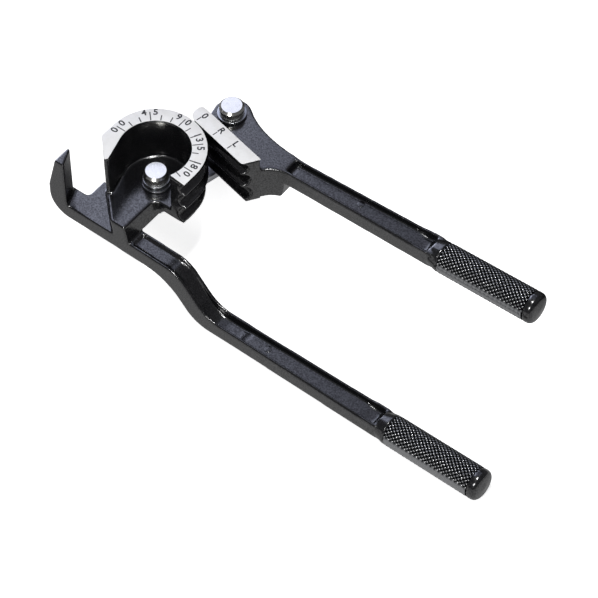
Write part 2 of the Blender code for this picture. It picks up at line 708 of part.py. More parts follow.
def slide_handle(parts, helpers, finish):
    """The casting that carries the slide block, the boss, the arm and the upper grip."""
    face = -PIN_BEHIND_FACE
    piece = adopt("slide_handle", slide_block_mesh(face), parts)
    bar_bottom = ARM_TOP - SLIDE_BAR_HEIGHT
    upper_end = SLIDE_GRIP_START - GRIP_OVERLAP
    lower_end = SLIDE_GRIP_START - LOWER_CHANNEL_STOP
    boss_top = ARM_TOP - GAP
    boss_radius = BOSS_RADIUS - GAP
    boss = [(0, boss_top), (boss_radius, boss_top), (boss_radius, FLOOR_BOTTOM), (0, FLOOR_BOTTOM)]
    path = [Vector((-2 * SLIDE_STRIP_END, face)), Vector((2 * SLIDE_STRIP_END, face))]
    to_face = Matrix.Rotation(SLIDE_BAR_ANGLE, 4, "Z")
    for mesh, operation in (
        (arm_mesh(), "UNION"),
        (under_bar_mesh(), "DIFFERENCE"),
        (turned_mesh("slide_boss", boss, PIN_SEGMENTS), "UNION"),
        (slide_channel_mesh("slide_channel", upper_end, ARM_TOP, -CHANNEL_DEPTH), "DIFFERENCE"),
        (slide_channel_mesh("slide_lower_channel", lower_end, bar_bottom, LOWER_CHANNEL_DEPTH), "DIFFERENCE"),
        (pin_hole_mesh("slide_pin_hole", ARM_TOP), "DIFFERENCE"),
    ):
        mesh.transform(to_face)
        combine(piece, mesh, operation, helpers)
    for index, (radius, height) in enumerate(zip(GROOVE_RADII, groove_heights())):
        groove = groove_mesh(f"slide_groove_{index + 1}", path, radius, height)
        combine(piece, groove, "DIFFERENCE", helpers)
    combine(piece, slide_bottom_land_mesh(face), "DIFFERENCE", helpers)
    grip = grip_mesh("slide_grip", (SLIDE_GRIP_START, SLIDE_BAR_OFFSET, ARM_TOP - SLIDE_BAR_HEIGHT / 2))
    grip.transform(to_face)
    combine(piece, grip, "UNION", helpers)
    finish_piece(piece, finish)
    return piece


def finish_piece(piece, finish):
    """Give the piece its material and smooth shading across its round faces."""
    piece.data.materials.clear()
    piece.data.materials.append(finish)
    piece.data.shade_smooth()
    piece.data.set_sharp_from_angle(angle=SHARP_ANGLE)


def degree_scale(parts, finish):
    """The white graduated plate on the former."""
    mesh = plate_mesh("degree_scale", [former_ring_outline()], STACK_TOP - SCALE_THICKNESS, STACK_TOP)
    piece = adopt("degree_scale", mesh, parts)
    finish_piece(piece, finish)
    return piece


def index_scale(parts, finish):
    """The white plate with the index lines on the slide block."""
    outline = rounded(slide_block_corners(-PIN_BEHIND_FACE))
    mesh = plate_mesh("index_scale", [outline], STACK_TOP - SCALE_THICKNESS, STACK_TOP)
    piece = adopt("index_scale", mesh, parts)
    finish_piece(piece, finish)
    return piece


def link_bar(parts, finish):
    """The flat link between the two pins, with round ends."""
    half = LINK_WIDTH / 2
    right = arc((LINK_LENGTH, 0), half, -math.pi / 2, math.pi / 2)
    left = arc((0, 0), half, math.pi / 2, 3 * math.pi / 2)
    holes = [arc((x, 0), PIN_RADIUS + GAP, 0, 2 * math.pi)[:-1] for x in (0, LINK_LENGTH)]
    piece = adopt("link_bar", plate_mesh("link_bar", [right + left, *holes], LINK_BOTTOM, LINK_TOP), parts)
    finish_piece(piece, finish)
    return piece


def pin(name, top, seat, parts, finish):
    """A headed pin: a crown, a head down to its seat, a shank and a grooved tail."""
    groove = clip_level() + CLIP_THICKNESS + GAP
    neck = PIN_RADIUS - CLIP_GROOVE_DEPTH
    profile = [(0, top), (PIN_CROWN_RADIUS, top), (PIN_HEAD_RADIUS, top - PIN_CROWN), (PIN_HEAD_RADIUS, seat),
               (PIN_RADIUS, seat), (PIN_RADIUS, groove), (neck, groove), (neck, clip_level() - GAP),
               (PIN_RADIUS, clip_level() - GAP), (PIN_RADIUS, PIN_TAIL + PIN_TAIL_CHAMFER),
               (PIN_RADIUS - PIN_TAIL_CHAMFER, PIN_TAIL), (0, PIN_TAIL)]
    piece = adopt(name, turned_mesh(name, profile, PIN_SEGMENTS), parts)
    finish_piece(piece, finish)
    return piece


def ring(name, radius, low, height, parts, finish):
    """A washer or a spacer round a pin."""
    outlines = [arc((0, 0), size, 0, 2 * math.pi)[:-1] for size in (radius, PIN_RADIUS + GAP)]
    piece = adopt(name, plate_mesh(name, outlines, low, low + height), parts)
    finish_piece(piece, finish)
    return piece


def clip_level():
    """Underside of the retaining rings on the pins' tails."""
    return LINK_BOTTOM - GAP - WASHER_THICKNESS - GAP - CLIP_THICKNESS


def clip(name, parts, finish):
    """An open retaining ring in the groove of a pin's tail."""
    low = clip_level()
    inner = PIN_RADIUS - CLIP_GROOVE_DEPTH + GAP
    start = CLIP_OPENING / 2
    finish_angle = 2 * math.pi - start
    outline = arc((0, 0), CLIP_RADIUS, start, finish_angle) + arc((0, 0), inner, finish_angle, start)
    piece = adopt(name, plate_mesh(name, [outline], low, low + CLIP_THICKNESS), parts)
    finish_piece(piece, finish)
    return piece


def empty(name, parent, location, angle):
    """A joint or a frame that carries pieces."""
    holder = bpy.data.objects.new(name, None)
    bpy.context.scene.collection.objects.link(holder)
    holder.parent = parent
    holder.location = location
    holder.rotation_euler.z = angle
    return holder


def carry(holder, pieces):
    for piece in pieces:
        piece.parent = holder


def stand_on_ground(root, parts):
    """Move the whole tool so that its box is centred on the origin and stands on the ground."""
    bpy.context.view_layer.update()
    depsgraph = bpy.context.evaluated_depsgraph_get()
    corners = []
    for piece in parts.objects:
        shape = piece.evaluated_get(depsgraph).to_mesh()
        corners += [piece.matrix_world @ vertex.co for vertex in shape.vertices]
    low = [min(corner[axis] for corner in corners) for axis in range(3)]
    high = [max(corner[axis] for corner in corners) for axis in range(3)]
    root.location = (-(low[0] + high[0]) / 2, -(low[1] + high[1]) / 2, -low[2])
    bpy.context.view_layer.update()


def build():
    clear_scene()
    parts = new_collection("tube_bender")
    helpers = new_collection("cutters")
    black = material("black_enamel", BLACK, 0.25, 0.0)
    steel = material("polished_steel", STEEL, 0.18, 1.0)
    zinc = material("zinc_plate", ZINC, 0.35, 1.0)

    root = empty("tool", None, (0, 0, 0), 0)
    link_joint = empty("link_joint", root, (0, 0, 0), LINK_REST_ANGLE)
    slide_joint = empty("slide_joint", link_joint, (LINK_LENGTH, 0, 0), FACE_ANGLE - LINK_REST_ANGLE)

    former_washer_low = FLOOR_TOP + GAP
    spacer_low = former_washer_low + WASHER_THICKNESS + GAP
    slide_washer_low = ARM_TOP + GAP
    rear_low = LINK_BOTTOM - GAP - WASHER_THICKNESS
    carry(root, [
        former_handle(parts, helpers, black),
        degree_scale(parts, material("white_scale", WHITE, 0.5, 0.0)),
        pin("former_pin", FORMER_PIN_TOP, spacer_low + SPACER_HEIGHT + GAP, parts, steel),
        ring("former_spacer", SPACER_RADIUS, spacer_low, SPACER_HEIGHT, parts, zinc),
        ring("former_washer", WASHER_RADIUS, former_washer_low, WASHER_THICKNESS, parts, zinc),
        ring("former_pin_washer_rear", REAR_WASHER_RADIUS, rear_low, WASHER_THICKNESS, parts, zinc),
        clip("former_pin_clip", parts, zinc),
    ])
    far_end = [
        pin("slide_pin", SLIDE_PIN_TOP, slide_washer_low + WASHER_THICKNESS + GAP, parts, steel),
        ring("slide_washer", WASHER_RADIUS, slide_washer_low, WASHER_THICKNESS, parts, zinc),
        ring("slide_pin_washer_rear", REAR_WASHER_RADIUS, rear_low, WASHER_THICKNESS, parts, zinc),
        clip("slide_pin_clip", parts, zinc),
    ]
    carry(link_joint, [link_bar(parts, zinc), *far_end])
    for piece in far_end:
        piece.location.x = LINK_LENGTH
    carry(slide_joint, [slide_handle(parts, helpers, black),
                        index_scale(parts, material("white_index", WHITE, 0.5, 0.0))])
    stand_on_ground(root, parts)


build()
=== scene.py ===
"""Looks of the lever tube bender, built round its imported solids. All sizes are in metres."""

import json
import math

import bmesh
import bpy
from mathutils import Matrix, Vector


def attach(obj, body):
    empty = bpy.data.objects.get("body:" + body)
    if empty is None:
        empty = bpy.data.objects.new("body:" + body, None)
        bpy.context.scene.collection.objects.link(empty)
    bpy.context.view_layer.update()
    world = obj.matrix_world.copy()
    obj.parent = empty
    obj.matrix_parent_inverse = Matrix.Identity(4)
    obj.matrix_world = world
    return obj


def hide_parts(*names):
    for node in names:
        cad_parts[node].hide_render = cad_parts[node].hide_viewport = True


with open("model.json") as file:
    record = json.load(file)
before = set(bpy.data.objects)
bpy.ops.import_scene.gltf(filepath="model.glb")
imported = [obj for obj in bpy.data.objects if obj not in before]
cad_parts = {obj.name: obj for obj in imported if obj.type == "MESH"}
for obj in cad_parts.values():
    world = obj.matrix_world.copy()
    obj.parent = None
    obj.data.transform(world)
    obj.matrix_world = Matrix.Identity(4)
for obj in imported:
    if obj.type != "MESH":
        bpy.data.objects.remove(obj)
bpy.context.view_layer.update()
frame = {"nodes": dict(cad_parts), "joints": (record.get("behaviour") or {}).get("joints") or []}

# Camera and light
# The tool is seen from high above its lower grip through a long lens. A soft box behind the head puts a
# bluish sheen on the flat black faces, one low on the left shines in the ends of the channels, and two
# small lamps overhead and in front put sparks on the edges and the knurl.
CAMERA_PLACE = (0.70125, -0.85576, 1.42766)
CAMERA_TURN = [math.radians(angle) for angle in (37.9892, 0.985, 38.4391)]
CAMERA_LENS = 240.8
CAMERA_FILM = 36
CAMERA_REACH = 20
STUDIO_LIGHT = 0.12
SKY_TINT = (0.94, 0.94, 1, 1)
WHITE = (1, 1, 1, 1)
LAMP_DISTANCE = 1.2
LAMPS = (("top_lamp", (0.10, -0.10, 0.99), 0.12, 8.0),
         ("front_lamp", (0.20, -0.75, 0.63), 0.24, 4.0))
BOX_AIM = Vector((-0.05, 0, 0.04))
SHEEN_PLACE = (-0.50, 0.50, 0.92)
SHEEN_SIZE = (1.2, 0.9)
SHEEN_LEVELS = (1.68, 0.55)
BOX_FADE = (-0.03, 0.06)
LEFT_PLACE = (-1.12, 0.44, 0.40)
LEFT_SIZE = (0.60, 0.60)
LEFT_LEVELS = (5.5, 5.5)
BOX_TINT = (0.76, 0.80, 1.0, 1)


def small_lamp(name, direction, size, power):
    """A square lamp that shines on the tool from a direction."""
    place = Vector(direction).normalized() * LAMP_DISTANCE
    turn = place.to_track_quat("Z", "Y").to_euler()
    bpy.ops.object.light_add(type="AREA", location=place, rotation=turn)
    lamp = bpy.context.object
    lamp.name = name
    lamp.data.shape = "SQUARE"
    lamp.data.size = size
    lamp.data.energy = power


def soft_box(name, where, size, levels):
    """A panel that only gloss sees, turned to the tool, dimming along its own X."""
    bpy.ops.object.select_all(action="DESELECT")
    bpy.ops.mesh.primitive_plane_add(size=1)
    box = bpy.context.object
    box.name = name
    box.scale = (*size, 1)
    box.location = where
    aim = (BOX_AIM - Vector(where)).normalized()
    side = (Vector((1, 0, 0)) - aim * aim.x).normalized()
    box.rotation_euler = Matrix((side, aim.cross(side), aim)).transposed().to_euler()
    box.visible_camera = False
    box.visible_diffuse = False
    glow = bpy.data.materials.new(name + "_glow")
    glow.use_nodes = True
    box.data.materials.append(glow)
    tree = glow.node_tree
    tree.nodes.remove(tree.nodes["Principled BSDF"])
    place = tree.nodes.new("ShaderNodeTexCoord")
    split = tree.nodes.new("ShaderNodeSeparateXYZ")
    fade = tree.nodes.new("ShaderNodeMapRange")
    fade.interpolation_type = "SMOOTHSTEP"
    fade.inputs["From Min"].default_value = BOX_FADE[0] / size[0]
    fade.inputs["From Max"].default_value = BOX_FADE[1] / size[0]
    fade.inputs["To Min"].default_value = levels[0]
    fade.inputs["To Max"].default_value = levels[1]
    light = tree.nodes.new("ShaderNodeEmission")
    light.inputs["Color"].default_value = BOX_TINT
    tree.links.new(place.outputs["Object"], split.inputs["Vector"])
    tree.links.new(split.outputs["X"], fade.inputs["Value"])
    tree.links.new(fade.outputs["Result"], light.inputs["Strength"])
    tree.links.new(light.outputs["Emission"], tree.nodes["Material Output"].inputs["Surface"])


bpy.ops.object.select_all(action="DESELECT")
bpy.ops.object.camera_add(location=CAMERA_PLACE, rotation=CAMERA_TURN)
camera = bpy.context.object
camera.name = "photo_camera"
camera.data.lens = CAMERA_LENS
camera.data.sensor_width = CAMERA_FILM
camera.data.clip_end = CAMERA_REACH
bpy.context.scene.camera = camera
bpy.context.scene.view_settings.view_transform = "Standard"
for lamp in LAMPS:
    small_lamp(*lamp)

soft_box("sheen_box", SHEEN_PLACE, SHEEN_SIZE, SHEEN_LEVELS)
soft_box("left_box", LEFT_PLACE, LEFT_SIZE, LEFT_LEVELS)

world = bpy.data.worlds.new("studio")
world.use_nodes = True
bpy.context.scene.world = world
air = world.node_tree
sky = air.nodes["Background"]
sky.inputs["Color"].default_value = SKY_TINT
sky.inputs["Strength"].default_value = STUDIO_LIGHT
backdrop = air.nodes.new("ShaderNodeBackground")
backdrop.inputs["Color"].default_value = WHITE
backdrop.inputs["Strength"].default_value = 1.0
rays = air.nodes.new("ShaderNodeLightPath")
seen = air.nodes.new("ShaderNodeMixShader")
air.links.new(rays.outputs["Is Camera Ray"], seen.inputs["Fac"])
air.links.new(sky.outputs["Background"], seen.inputs[1])
air.links.new(backdrop.outputs["Background"], seen.inputs[2])
air.links.new(seen.outputs["Shader"], air.nodes["World Output"].inputs["Surface"])

# Floor
# A white studio table that reads as the photograph's white ground and keeps a faint soft shadow. Gloss
# paint sees it as grey paper round the tool and as a dark card beyond it.
FLOOR_SIZE = 6.0
FLOOR_DROP = 0.0002
FLOOR_PAPER = (0.8, 0.8, 0.8, 1)
FLOOR_MATT = 0.9
FLOOR_LIFT = 0.82
PAPER_GREY = 0.54
CARD_GREY = 0.04
CARD_FADE = (0.06, 0.12)

bpy.ops.object.select_all(action="DESELECT")
bpy.ops.mesh.primitive_plane_add(size=FLOOR_SIZE, location=(0, 0, -FLOOR_DROP))
floor = bpy.context.object
floor.name = "studio_floor"
paper = bpy.data.materials.new("studio_paper")
paper.use_nodes = True
floor.data.materials.append(paper)
tree = paper.node_tree
shade = tree.nodes["Principled BSDF"]
shade.inputs["Base Color"].default_value = FLOOR_PAPER
shade.inputs["Roughness"].default_value = FLOOR_MATT
shade.inputs["Specular IOR Level"].default_value = 0.0
shade.inputs["Emission Color"].default_value = WHITE
shade.inputs["Emission Strength"].default_value = FLOOR_LIFT
place = tree.nodes.new("ShaderNodeTexCoord")
split = tree.nodes.new("ShaderNodeSeparateXYZ")
tree.links.new(place.outputs["Object"], split.inputs["Vector"])
fade = tree.nodes.new("ShaderNodeMapRange")
fade.inputs["From Min"].default_value = CARD_FADE[0]
fade.inputs["From Max"].default_value = CARD_FADE[1]
fade.inputs["To Min"].default_value = PAPER_GREY
fade.inputs["To Max"].default_value = CARD_GREY
tree.links.new(split.outputs["Y"], fade.inputs["Value"])
card = tree.nodes.new("ShaderNodeBsdfDiffuse")
tree.links.new(fade.outputs["Result"], card.inputs["Color"])
rays = tree.nodes.new("ShaderNodeLightPath")
seen = tree.nodes.new("ShaderNodeMixShader")
tree.links.new(rays.outputs["Is Glossy Ray"], seen.inputs["Fac"])
tree.links.new(shade.outputs["BSDF"], seen.inputs[1])
tree.links.new(card.outputs["BSDF"], seen.inputs[2])
tree.links.new(seen.outputs["Shader"], tree.nodes["Material Output"].inputs["Surface"])

# Former casting
# The hook, the three-groove former, the cranked neck and the lower bar are one zinc die casting in gloss
# black paint. The paint rounds every edge and fills every corner, so the solid is recast with soft edges.
PAINT_GRAIN = 0.00040
PAINT_KEEP = 0.55
ROUNDING_PASSES = 20
ROUNDING_PULL = 0.5
WELD = 1e-7
PAINT_GLOSS = 1.9
PAINT_DARK = (0.0015, 0.0015, 0.0020, 1)
PAINT_LIGHT = (0.0040, 0.0040, 0.0050, 1)
PAINT_MATT = (0.15, 0.23)
PAINT_CLOUDS = 60
PEEL_FINENESS = 900
PEEL_STRENGTH = 0.10
PEEL_DEPTH = 0.0002
DUST_FINENESS = 1500
DUST_RANGE = (0.35, 0.65)
DUST_GLOSS = (0.30, 0.70)


def soft_casting(name, node, body):
    """A copy of a cast solid with its edges rounded and its corners filled, as paint leaves them."""
    casting = bpy.data.objects.new(name, frame["nodes"][node].data.copy())
    bpy.context.scene.collection.objects.link(casting)
    bpy.ops.object.select_all(action="DESELECT")
    bpy.context.view_layer.objects.active = casting
    casting.select_set(True)
    bpy.ops.mesh.customdata_custom_splitnormals_clear()
    bpy.ops.object.mode_set(mode="EDIT")
    bpy.ops.mesh.select_all(action="SELECT")
    bpy.ops.mesh.remove_doubles(threshold=WELD)
    bpy.ops.object.mode_set(mode="OBJECT")
    skin = casting.modifiers.new("skin", "REMESH")
    skin.mode = "VOXEL"
    skin.voxel_size = PAINT_GRAIN
    skin.use_smooth_shade = True
    bpy.ops.object.modifier_apply(modifier=skin.name)
    flow = casting.modifiers.new("flow", "SMOOTH")
    flow.factor = ROUNDING_PULL
    flow.iterations = ROUNDING_PASSES
    bpy.ops.object.modifier_apply(modifier=flow.name)
    thin = casting.modifiers.new("thin", "DECIMATE")
    thin.ratio = PAINT_KEEP
    bpy.ops.object.modifier_apply(modifier=thin.name)
    bpy.ops.object.shade_smooth()
    casting.data.materials.clear()
    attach(casting, body)
    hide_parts(node)
    return casting


def black_paint(name):
    """Gloss black paint with a slight orange peel, cloudy in tone and lightly dusty."""
    paint = bpy.data.materials.new(name)
    paint.use_nodes = True
    tree = paint.node_tree
    shader = tree.nodes["Principled BSDF"]
    shader.inputs["IOR"].default_value = PAINT_GLOSS
    place = tree.nodes.new("ShaderNodeTexCoord")
    peel = tree.nodes.new("ShaderNodeTexNoise")
    peel.inputs["Scale"].default_value = PEEL_FINENESS
    peel.inputs["Detail"].default_value = 3
    tree.links.new(place.outputs["Object"], peel.inputs["Vector"])
    bump = tree.nodes.new("ShaderNodeBump")
    bump.inputs["Strength"].default_value = PEEL_STRENGTH
    bump.inputs["Distance"].default_value = PEEL_DEPTH
    tree.links.new(peel.outputs["Fac"], bump.inputs["Height"])
    tree.links.new(bump.outputs["Normal"], shader.inputs["Normal"])
    cloud = tree.nodes.new("ShaderNodeTexNoise")
    cloud.inputs["Scale"].default_value = PAINT_CLOUDS
    cloud.inputs["Detail"].default_value = 4
    tree.links.new(place.outputs["Object"], cloud.inputs["Vector"])
    tone = tree.nodes.new("ShaderNodeValToRGB")
    tone.color_ramp.elements[0].color = PAINT_DARK
    tone.color_ramp.elements[1].color = PAINT_LIGHT
    tree.links.new(cloud.outputs["Fac"], tone.inputs["Fac"])
    tree.links.new(tone.outputs["Color"], shader.inputs["Base Color"])
    matt = tree.nodes.new("ShaderNodeMapRange")
    matt.inputs["To Min"].default_value = PAINT_MATT[0]
    matt.inputs["To Max"].default_value = PAINT_MATT[1]
    tree.links.new(cloud.outputs["Fac"], matt.inputs["Value"])
    tree.links.new(matt.outputs["Result"], shader.inputs["Roughness"])
    dust = tree.nodes.new("ShaderNodeTexNoise")
    dust.inputs["Scale"].default_value = DUST_FINENESS
    dust.inputs["Detail"].default_value = 2
    tree.links.new(place.outputs["Object"], dust.inputs["Vector"])
    veil = tree.nodes.new("ShaderNodeMapRange")
    veil.inputs["From Min"].default_value = DUST_RANGE[0]
    veil.inputs["From Max"].default_value = DUST_RANGE[1]
    veil.inputs["To Min"].default_value = DUST_GLOSS[0]
    veil.inputs["To Max"].default_value = DUST_GLOSS[1]
    tree.links.new(dust.outputs["Fac"], veil.inputs["Value"])
    tree.links.new(veil.outputs["Result"], shader.inputs["Specular IOR Level"])
    return paint


paint = black_paint("black_enamel")
former = soft_casting("former_casting", "former_handle", "former")
former.data.materials.append(paint)

# Slide casting
# The slide block, the pin boss, the arm and the upper bar are the second zinc die casting. It gets the same
# gloss black paint and swings on its own pin.
slide = soft_casting("slide_casting", "slide_handle", "slide")
slide.data.materials.append(paint)

# Channels of the two bars
# A channel runs along the top of each straight bar, between two rims. The draft of the mould leans the rims
# outwards, and the web between them lies a little higher along the bar than at its ends.
PIN_AXIS = Vector(frame["joints"][0]["pos_m"])
SLIDE_AXIS = Vector(frame["joints"][1]["pos_m"])
FORMER_GRIP_START = Vector((0.1470, -0.0245, -0.01675))
SLIDE_GRIP_START = Vector((0.1177, -0.0086, 0.0280))
BAR_TURN = math.radians(2.0)
FORMER_GRIP = Matrix.Translation(PIN_AXIS + FORMER_GRIP_START)
SLIDE_GRIP = (Matrix.Translation(SLIDE_AXIS) @ Matrix.Rotation(BAR_TURN, 4, "Z")
              @ Matrix.Translation(SLIDE_GRIP_START))
FORMER_CHANNEL = (0.00085, 0.00449)
SLIDE_CHANNEL = (0.00130, 0.00494)
CHANNEL_SLACK = 0.0003
BAR_REACH = (-0.0790, -0.0060)
BAR_RAMP = 0.0040
RIM_FAR = 0.0043
RIM_NEAR = 0.0048
RIM_HEIGHT = 0.0016
RIM_LEAN = 0.55
WEB_LIFT = 0.0007


def ease_channel(casting, grip, web, rim):
    """Lean the rims of a straight bar's channel and lift its web, fading out at both ends."""
    inverse = grip.inverted()
    for vertex in casting.data.vertices:
        spot = inverse @ vertex.co
        ramp = min(1, (spot.x - BAR_REACH[0]) / BAR_RAMP, (BAR_REACH[1] - spot.x) / BAR_RAMP)
        if ramp <= 0 or spot.z < web - CHANNEL_SLACK:
            continue
        inside = RIM_FAR if spot.y > 0 else RIM_NEAR
        if abs(spot.y) > inside and spot.z > rim - RIM_HEIGHT:
            share = (spot.z - rim + RIM_HEIGHT) / RIM_HEIGHT
            spot.z -= RIM_LEAN * (abs(spot.y) - inside) * ramp * share
        elif abs(spot.y) < RIM_FAR:
            spot.z += WEB_LIFT * ramp * (rim - spot.z) / (rim - web)
        vertex.co = grip @ spot


ease_channel(former, FORMER_GRIP, *FORMER_CHANNEL)
ease_channel(slide, SLIDE_GRIP, *SLIDE_CHANNEL)

# Knurl of the two grips
# Both grips carry a fine diamond knurl, cast in with the handle and softened by the paint. The casting is
# drawn in under it, and the knurl is laid on as a sleeve of small rounded diamonds.
# The knurl's crests carry a painted highlight and its valleys painted shade in their colour.
GRIP_LENGTH = 0.0560
GRIP_RADII = (0.0073, 0.0075)
GRIP_COLLAR = 0.0050
GRIP_ROUND = 0.0024
KNURL_STARTS = 24
KNURL_SPACING = 0.00226
KNURL_DEPTH = 0.00120
KNURL_SOFTENING = 0.00066
KNURL_START = 0.0052
KNURL_END = 0.0520
KNURL_TUCK = 0.0008
KNURL_PARTING = (0.20, 0.40)
KNURL_VALLEY = -0.00024
KNURL_CREST = -0.00006
# Painted highlight and painted shade: the crests are coloured light grey, the valleys darker than the
# paint.
PAINTED_VALLEY_SHADE = (0.0010, 0.0010, 0.0015, 1)
PAINTED_CREST_HIGHLIGHT = (0.0900, 0.0930, 0.0980, 1)


def grip_radius(along):
    """Radius of a grip at a distance from its start."""
    share = (along - GRIP_COLLAR) / (GRIP_LENGTH - GRIP_ROUND - GRIP_COLLAR)
    return GRIP_RADII[0] + (GRIP_RADII[1] - GRIP_RADII[0]) * share


def tuck_grip(casting, grip):
    """Draw the casting in under the knurl."""
    inverse = grip.inverted()
    for vertex in casting.data.vertices:
        spot = inverse @ vertex.co
        if KNURL_START < spot.x < KNURL_END:
            ramp = min(1, (spot.x - KNURL_START) / KNURL_TUCK, (KNURL_END - spot.x) / KNURL_TUCK)
            radius = math.hypot(spot.y, spot.z)
            spot.yz *= 1 - KNURL_TUCK * ramp / radius
            vertex.co = grip @ spot


def knurl_paint(name, grip):
    """The same paint on a knurl, glossier on the crests than in the valleys; a painted highlight lightens
    the crests and painted shade darkens the valleys.
    """
    glint_paint = black_paint(name)
    tree = glint_paint.node_tree
    shader = tree.nodes["Principled BSDF"]
    place = tree.nodes.new("ShaderNodeTexCoord")
    local = tree.nodes.new("ShaderNodeMapping")
    local.vector_type = "TEXTURE"
    local.inputs["Location"].default_value = grip.to_translation()
    local.inputs["Rotation"].default_value = grip.to_euler()
    tree.links.new(place.outputs["Object"], local.inputs["Vector"])
    split = tree.nodes.new("ShaderNodeSeparateXYZ")
    tree.links.new(local.outputs["Vector"], split.inputs["Vector"])
    across = tree.nodes.new("ShaderNodeCombineXYZ")
    tree.links.new(split.outputs["Y"], across.inputs["Y"])
    tree.links.new(split.outputs["Z"], across.inputs["Z"])
    reach = tree.nodes.new("ShaderNodeVectorMath")
    reach.operation = "LENGTH"
    tree.links.new(across.outputs["Vector"], reach.inputs[0])
    taper = tree.nodes.new("ShaderNodeMath")
    taper.operation = "MULTIPLY_ADD"
    taper.inputs[1].default_value = grip_radius(0) - grip_radius(1)
    tree.links.new(split.outputs["X"], taper.inputs[0])
    tree.links.new(reach.outputs["Value"], taper.inputs[2])
    crest = tree.nodes.new("ShaderNodeMapRange")
    crest.inputs["From Min"].default_value = grip_radius(0) + KNURL_VALLEY
    crest.inputs["From Max"].default_value = grip_radius(0) + KNURL_CREST
    tree.links.new(taper.outputs["Value"], crest.inputs["Value"])
    tree.links.new(crest.outputs["Result"], shader.inputs["Specular IOR Level"])
    # Painted highlight on the crests and painted shade in the valleys, set in the base colour by the crest
    # mask.
    highlight_and_shade = tree.nodes.new("ShaderNodeValToRGB")
    highlight_and_shade.color_ramp.elements[0].color = PAINTED_VALLEY_SHADE
    highlight_and_shade.color_ramp.elements[1].color = PAINTED_CREST_HIGHLIGHT
    tree.links.new(crest.outputs["Result"], highlight_and_shade.inputs["Fac"])
    tree.links.new(highlight_and_shade.outputs["Color"], shader.inputs["Base Color"])
    return glint_paint


def knurled_sleeve(name, grip, body):
    """Rows of rounded diamonds round a grip, dying out at the parting line of the mould."""
    columns = 2 * KNURL_STARTS
    rows = 2 * round((KNURL_END - KNURL_START) / KNURL_SPACING)
    bpy.ops.object.select_all(action="DESELECT")
    bpy.ops.mesh.primitive_cylinder_add(vertices=columns, radius=1, depth=rows,
                                        end_fill_type="NOTHING")
    sleeve = bpy.context.object
    sleeve.name = name
    bpy.ops.object.mode_set(mode="EDIT")
    bpy.ops.mesh.select_mode(type="EDGE")
    bpy.ops.mesh.select_all(action="DESELECT")
    mesh = bmesh.from_edit_mesh(sleeve.data)
    for edge in mesh.edges:
        edge.select_set(abs(edge.verts[0].co.z - edge.verts[1].co.z) > 0.5)
    bmesh.update_edit_mesh(sleeve.data)
    bpy.ops.mesh.subdivide(number_cuts=rows - 1)
    mesh = bmesh.from_edit_mesh(sleeve.data)
    valleys = set()
    for vertex in mesh.verts:
        row = round(vertex.co.z + rows / 2)
        turn = math.atan2(vertex.co.y, vertex.co.x) % (2 * math.pi)
        column = round(turn / (2 * math.pi) * columns) % columns
        along = KNURL_START + (KNURL_END - KNURL_START) * row / rows
        radius = grip_radius(along) + KNURL_SOFTENING
        if row in (0, rows):
            radius -= KNURL_TUCK + KNURL_SOFTENING
        else:
            relief = (abs(math.sin(turn)) - KNURL_PARTING[0]) / (KNURL_PARTING[1] - KNURL_PARTING[0])
            relief = min(1, max(0, relief))
            radius -= KNURL_DEPTH / 2 * (1 + relief if (row + column) % 2 else 1 - relief)
        if (row + column) % 2:
            valleys.add(vertex)
        vertex.co = grip @ Vector((along, math.cos(turn) * radius, math.sin(turn) * radius))
    for face in list(mesh.faces):
        low = [vertex for vertex in face.verts if vertex in valleys]
        bmesh.utils.face_split(face, low[0], low[1])
    bmesh.ops.recalc_face_normals(mesh, faces=mesh.faces)
    bmesh.update_edit_mesh(sleeve.data)
    bpy.ops.object.mode_set(mode="OBJECT")
    soft = sleeve.modifiers.new("soft", "SUBSURF")
    soft.levels = 2
    soft.render_levels = 2
    bpy.ops.object.modifier_apply(modifier=soft.name)
    bpy.ops.object.shade_smooth()
    sleeve.data.materials.append(knurl_paint(name + "_paint", grip))
    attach(sleeve, body)


tuck_grip(former, FORMER_GRIP)
tuck_grip(slide, SLIDE_GRIP)
knurled_sleeve("former_grip_knurl", FORMER_GRIP, "former")
knurled_sleeve("slide_grip_knurl", SLIDE_GRIP, "slide")

# Ejector marks
# The pins that push the castings out of the mould leave a low round boss on the web of each channel. It is
# part of the casting and is painted with it.
MARK_RADIUS = 0.0018
MARK_HEIGHT = 0.00040
MARK_EDGE = 0.00012
MARK_SIDES = 32
MARKS = (("former_ejector_mark", former, (0.0824, -0.0239), "former"),
         ("slide_ejector_mark", slide, (0.0868, 0.0383), "slide"))
ABOVE_ALL = 0.2

for name, casting, (along, across), body in MARKS:
    above = Vector((PIN_AXIS.x + along, PIN_AXIS.y + across, ABOVE_ALL))
    web = casting.ray_cast(above, Vector((0, 0, -1)))[1]
    bpy.ops.object.select_all(action="DESELECT")
    bpy.ops.mesh.primitive_cylinder_add(vertices=MARK_SIDES, radius=MARK_RADIUS, depth=MARK_HEIGHT)
    mark = bpy.context.object
    mark.name = name
    mark.data.transform(Matrix.Translation(web))
    edge = mark.modifiers.new("edge", "BEVEL")
    edge.width = MARK_EDGE
    edge.segments = 3
    edge.limit_method = "ANGLE"
    bpy.ops.object.modifier_apply(modifier=edge.name)
    bpy.ops.object.shade_smooth()
    mark.data.materials.append(paint)
    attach(mark, body)

